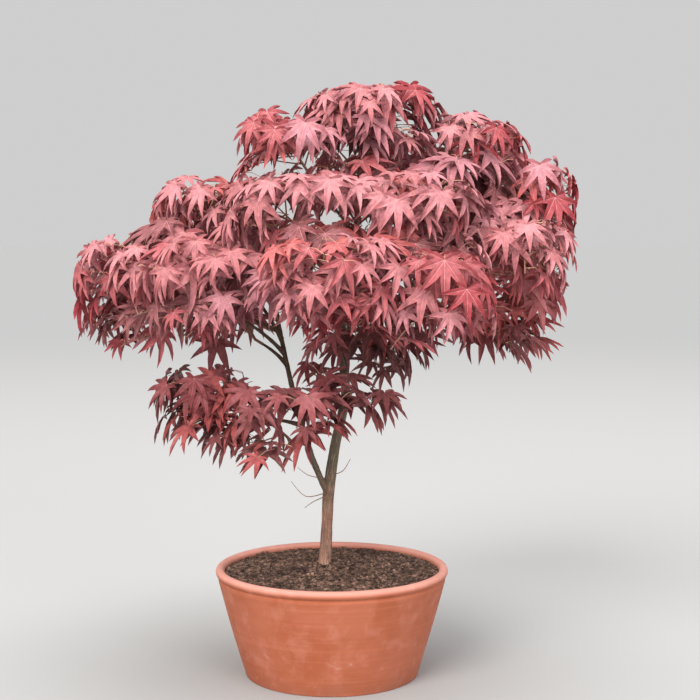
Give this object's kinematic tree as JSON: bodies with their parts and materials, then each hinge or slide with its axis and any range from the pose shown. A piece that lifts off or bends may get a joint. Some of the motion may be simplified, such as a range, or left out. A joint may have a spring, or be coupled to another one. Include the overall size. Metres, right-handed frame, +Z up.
{
  "type": "potted japanese maple",
  "caption": "Small Japanese maple with drooping purple-red palmate leaves, two-stemmed low down, planted off centre in a wide shallow-rimmed terracotta pan filled with soil.",
  "frame": {"origin": "centre of the pan's flat underside, midway between the three drain holes", "axes": "+Z up; -Y towards the viewer of the tree's best side, where the low boughs hang; +X to that viewer's right"},
  "size_m": [0.9542, 0.8234, 1.138],
  "materials": {
    "terracotta": "matt fired clay",
    "soil": "dark crumbly soil",
    "bark": "thin grey-brown bark",
    "sunlit": "matt leaves, dusty rose",
    "shaded": "matt leaves, dark purple-red"
  },
  "bodies": {
    "root": {"pot": "terracotta", "soil": "soil", "trunk": "bark", "leader": "bark", "left_limb": "bark", "right_limb": "bark", "back_limb": "bark", "crown_top_bough": "bark", "upper_left_bough": "bark", "upper_right_bough": "bark", "upper_back_bough": "bark", "right_end_bough": "bark", "middle_left_bough": "bark", "middle_right_bough": "bark", "left_shoulder_bough": "bark", "far_left_bough": "bark", "left_front_bough": "bark", "front_centre_bough": "bark", "front_right_bough": "bark", "right_front_bough": "bark", "right_low_bough": "bark", "left_back_bough": "bark", "right_back_bough": "bark", "back_centre_bough": "bark", "back_low_bough": "bark", "left_under_bough": "bark", "low_left_bough": "bark", "low_middle_bough": "bark", "low_right_bough": "bark", "crown_top": "sunlit", "upper_left": "sunlit", "upper_right": "sunlit", "upper_back": "sunlit", "right_end": "sunlit", "middle_left": "sunlit", "middle_right": "sunlit", "left_shoulder": "sunlit", "far_left": "sunlit", "left_front": "sunlit", "front_centre": "sunlit", "front_right": "sunlit", "right_front": "sunlit", "right_low": "shaded", "left_back": "sunlit", "right_back": "sunlit", "back_centre": "sunlit", "back_low": "shaded", "left_under": "shaded", "low_left": "shaded", "low_middle": "shaded", "low_right": "shaded"}
  },
  "joints": []
}
